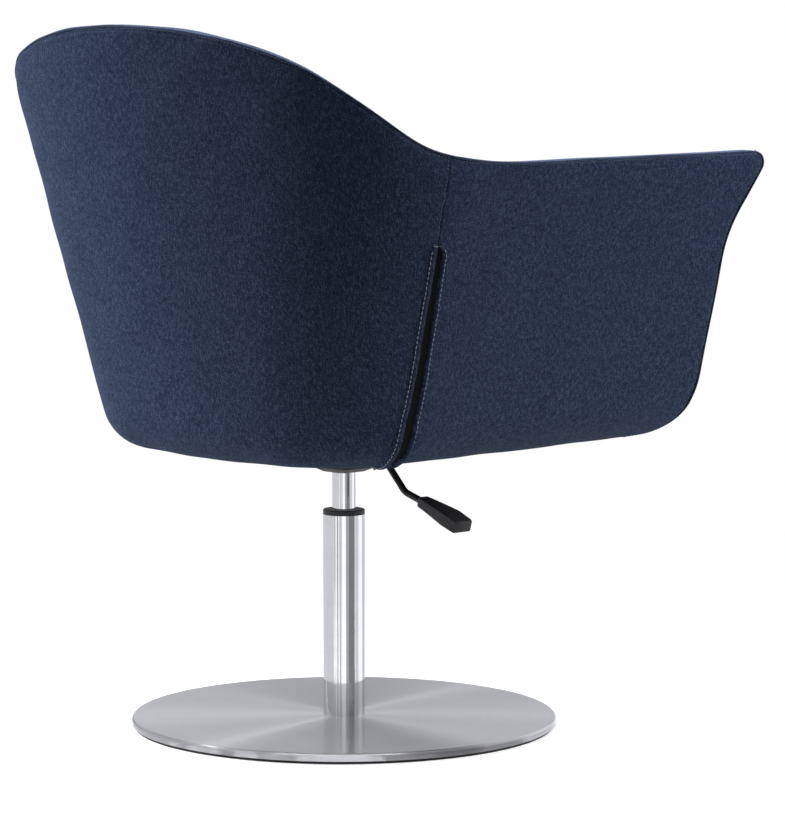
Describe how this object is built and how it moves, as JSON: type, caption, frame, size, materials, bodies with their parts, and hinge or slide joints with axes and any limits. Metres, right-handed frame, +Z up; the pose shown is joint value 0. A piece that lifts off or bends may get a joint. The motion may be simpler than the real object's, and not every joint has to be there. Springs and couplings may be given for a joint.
{
  "type": "swivel accent chair",
  "caption": "Upholstered bucket armchair on a gas lift column and a round brushed base: the seat swivels, and a lever under it frees the height.",
  "frame": {"origin": "on the floor, at the centre of the round base, under the column", "axes": "+Z up along the column, the sitter faces -Y, the sitter's right hand and the lever are on -X"},
  "size_m": [0.703, 0.7031, 0.8325],
  "materials": {
    "navy_fabric": "woven melange",
    "dark_lining": "matt",
    "plywood": "raw",
    "brushed_stainless": "circular brushed",
    "chrome": "polished",
    "bare_steel": "turned",
    "black_metal": "powder coat",
    "black_plastic": "moulded",
    "black_rubber": "matt"
  },
  "bodies": {
    "base": {"floor_ring": "black_rubber", "base_plate": "bare_steel", "base_cover": "brushed_stainless", "column_tube": "chrome", "tube_plug": "bare_steel", "base_screws": "bare_steel", "guide_bush": "black_plastic", "bearing_lower_race": "bare_steel", "bearing_balls": "bare_steel", "bearing_cage": "black_plastic"},
    "rod": {"bearing_upper_race": "bare_steel", "piston_rod": "bare_steel", "rod_clip": "bare_steel", "rod_buffer": "black_rubber", "piston": "bare_steel"},
    "seat": {"gas_cylinder": "chrome", "cylinder_gland": "bare_steel", "taper_socket": "black_metal", "hub_housing": "black_metal", "mount_plate": "black_metal", "plate_screws": "bare_steel", "t_nuts": "bare_steel", "lever_pin": "bare_steel", "back_panel": "plywood", "right_arm_panel": "plywood", "left_arm_panel": "plywood", "seat_board": "plywood", "front_rail": "navy_fabric", "dust_cover": "dark_lining", "back_cover": "navy_fabric", "right_arm_cover": "navy_fabric", "left_arm_cover": "navy_fabric", "right_slit_lining": "dark_lining", "left_slit_lining": "dark_lining", "back_pad": "navy_fabric", "right_arm_pad": "navy_fabric", "left_arm_pad": "navy_fabric", "rim_band": "navy_fabric", "seat_cushion": "navy_fabric"},
    "lever": {"lever_rod": "black_metal", "lever_grip": "black_plastic"},
    "button": {"release_pin": "bare_steel"}
  },
  "joints": [
    {"name": "swivel", "type": "hinge", "parent": "base", "child": "rod", "pos_m": [0, 0, 0.03], "axis": [0, 0, 1], "continuous": true},
    {"name": "lift", "type": "slide", "parent": "rod", "child": "seat", "axis": [0, 0, 1], "range_m": [0, 0.1]},
    {"name": "lever_pull", "type": "hinge", "parent": "seat", "child": "lever", "pos_m": [-0.024, 0, 0.343], "axis": [0, 1, 0], "range_deg": [0, 7], "stiffness_Nm_per_rad": 4, "springref_deg": -5.73},
    {"name": "pin_press", "type": "slide", "parent": "seat", "child": "button", "axis": [0, 0, 1], "range_m": [-0.003, 0]}
  ],
  "couplings": [
    {"joint": "pin_press", "follows": "lever_pull", "m_per_rad": -0.024}
  ]
}
